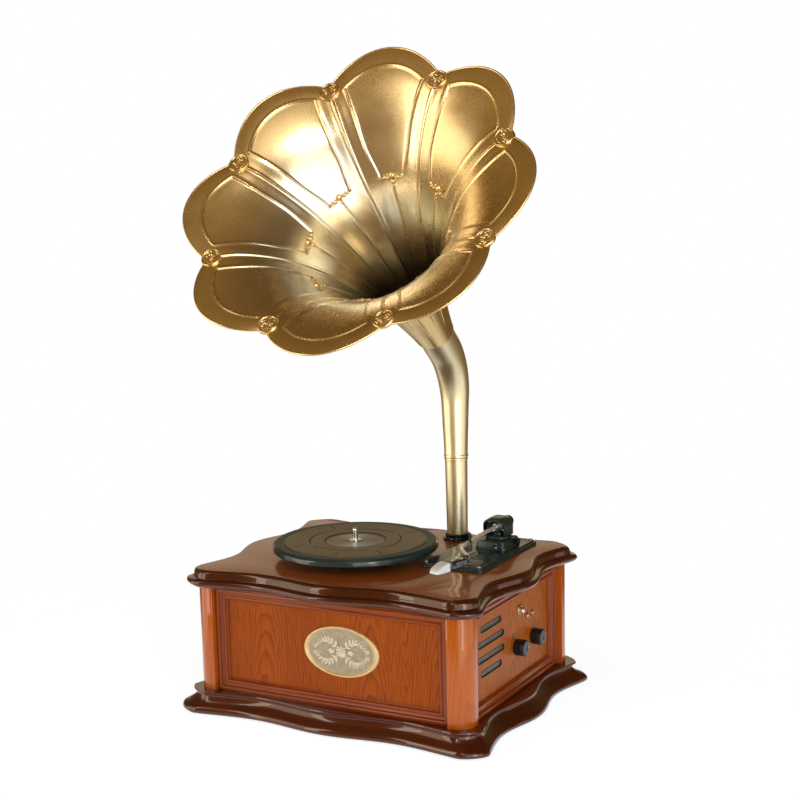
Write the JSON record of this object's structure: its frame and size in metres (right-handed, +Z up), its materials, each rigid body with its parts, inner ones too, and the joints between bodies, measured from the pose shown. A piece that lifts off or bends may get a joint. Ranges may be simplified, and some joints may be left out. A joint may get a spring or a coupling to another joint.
{
  "type": "horn gramophone",
  "caption": "Table-top horn gramophone: serpentine wooden cabinet with side controls, belt-driven turntable and tonearm, and a petal-edged brass horn on a swivelling elbow.",
  "frame": {"origin": "centre of the cabinet's footprint, on the felt that rests on the table", "axes": "+Z up; -Y is the front with the oval plaque; +X is the side with the knobs and sound slots; the horn stands at the back and opens to the front"},
  "size_m": [0.5141, 0.494, 0.854],
  "materials": {
    "mahogany": "dark high-gloss lacquered moulding",
    "deck_wood": "satin lacquered top, dark glossy edge",
    "oak_panel": "satin lacquered upright oak grain",
    "post_wood": "satin lacquered",
    "frame_wood": "satin lacquered reddish moulding",
    "brass_horn": "satin antique brass",
    "black_gloss": "glossy moulded",
    "black_satin": "fine satin moulded",
    "deck_metal": "dark satin paint",
    "mat_rubber": "ribbed rubber",
    "rubber_black": "plain rubber",
    "felt": "pressed felt",
    "bright_steel": "polished",
    "plain_steel": "brushed",
    "arm_metal": "champagne anodised",
    "emblem_metal": "aged cream and gold relief",
    "shell_blue": "glossy dark blue",
    "guard_white": "pale lavender white",
    "cloth": "woven speaker cloth",
    "cone_paper": "pressed paper",
    "board_green": "printed circuit board",
    "core_iron": "varnished laminations",
    "bearing_brass": "turned",
    "button_silver": "polished",
    "jack_brass": "worn plated"
  },
  "bodies": {
    "cabinet": {"base_plinth": "mahogany", "felt_base": "felt", "post_front_left": "post_wood", "post_front_right": "post_wood", "post_rear_left": "post_wood", "post_rear_right": "post_wood", "front_panel": "oak_panel", "rear_panel": "oak_panel", "left_panel": "oak_panel", "right_panel": "oak_panel", "front_frame": "frame_wood", "rear_frame": "frame_wood", "left_frame": "frame_wood", "right_frame": "frame_wood", "rear_screws": "bearing_brass", "top_board": "deck_wood", "front_emblem": "emblem_metal", "speaker_frames": "plain_steel", "speaker_cones": "cone_paper", "grille_cloths": "cloth", "amplifier_board": "board_green", "power_transformer": "core_iron", "power_inlet": "black_satin", "output_jacks": "black_satin", "volume_pot": "plain_steel", "tuning_pot": "plain_steel", "button_bezel": "jack_brass", "side_jacks": "jack_brass", "platter_bearing": "bearing_brass", "drive_belt": "rubber_black", "motor": "plain_steel", "tonearm_plate": "deck_metal", "plate_screws": "plain_steel", "pivot_housing": "deck_metal", "arm_rest": "plain_steel", "tube_flange": "black_gloss", "flange_screws": "plain_steel", "horn_pipe": "brass_horn", "horn_driver": "black_satin"},
    "platter": {"platter": "black_gloss", "platter_mat": "mat_rubber", "spindle": "bright_steel"},
    "motor_shaft": {"motor_pulley": "bearing_brass"},
    "yoke": {"tonearm_yoke": "deck_metal"},
    "arm": {"gimbal_block": "plain_steel", "arm_tube": "arm_metal", "counterweight": "black_satin", "headshell": "shell_blue", "cartridge": "shell_blue", "stylus_guard": "guard_white"},
    "latch": {"rest_latch": "black_satin"},
    "cue": {"cue_lever": "black_satin"},
    "speed": {"speed_knob": "black_satin"},
    "volume": {"volume_knob": "black_gloss"},
    "tuning": {"tuning_knob": "black_gloss"},
    "button": {"power_button": "button_silver"},
    "horn": {"swivel_sleeve": "brass_horn", "horn_elbow": "brass_horn", "horn_bell": "brass_horn"}
  },
  "joints": [
    {"name": "platter_spin", "type": "hinge", "parent": "cabinet", "child": "platter", "pos_m": [-0.0325, -0.019, 0.21], "axis": [0, 0, -1], "continuous": true},
    {"name": "motor_spin", "type": "hinge", "parent": "cabinet", "child": "motor_shaft", "pos_m": [-0.08553, 0.03403, 0.203], "axis": [0, 0, -1], "continuous": true},
    {"name": "tonearm_swing", "type": "hinge", "parent": "cabinet", "child": "yoke", "pos_m": [0.128, 0.088, 0.228], "axis": [0, 0, -1], "range_deg": [0, 46]},
    {"name": "tonearm_lift", "type": "hinge", "parent": "yoke", "child": "arm", "pos_m": [0.128, 0.088, 0.228], "axis": [-1, 0, 0], "range_deg": [0, 12]},
    {"name": "rest_latch_turn", "type": "hinge", "parent": "cabinet", "child": "latch", "pos_m": [0.1417, -0.028, 0.2318], "axis": [0, -1, 0], "range_deg": [0, 88]},
    {"name": "cue_lever_lift", "type": "hinge", "parent": "cabinet", "child": "cue", "pos_m": [0.1522, 0.098, 0.2065], "axis": [-1, 0, 0], "range_deg": [0, 40]},
    {"name": "speed_knob_turn", "type": "hinge", "parent": "cabinet", "child": "speed", "pos_m": [0.14, 0.0576, 0.2065], "axis": [0, -1, 0], "range_deg": [0, 60]},
    {"name": "volume_knob_turn", "type": "hinge", "parent": "cabinet", "child": "volume", "pos_m": [0.19, 0.0125, 0.0875], "axis": [1, 0, 0], "range_deg": [-150, 150]},
    {"name": "tuning_knob_turn", "type": "hinge", "parent": "cabinet", "child": "tuning", "pos_m": [0.19, 0.067, 0.0875], "axis": [1, 0, 0], "range_deg": [-150, 150]},
    {"name": "power_button_push", "type": "slide", "parent": "cabinet", "child": "button", "axis": [-1, 0, 0], "range_m": [0, 0.002], "stiffness_N_per_m": 300, "springref_m": -0.001},
    {"name": "horn_swivel", "type": "hinge", "parent": "cabinet", "child": "horn", "pos_m": [0.0485, 0.1245, 0.31], "axis": [0, 0, 1], "continuous": true}
  ],
  "couplings": [
    {"joint": "motor_spin", "follows": "platter_spin", "ratio": 7.5}
  ]
}
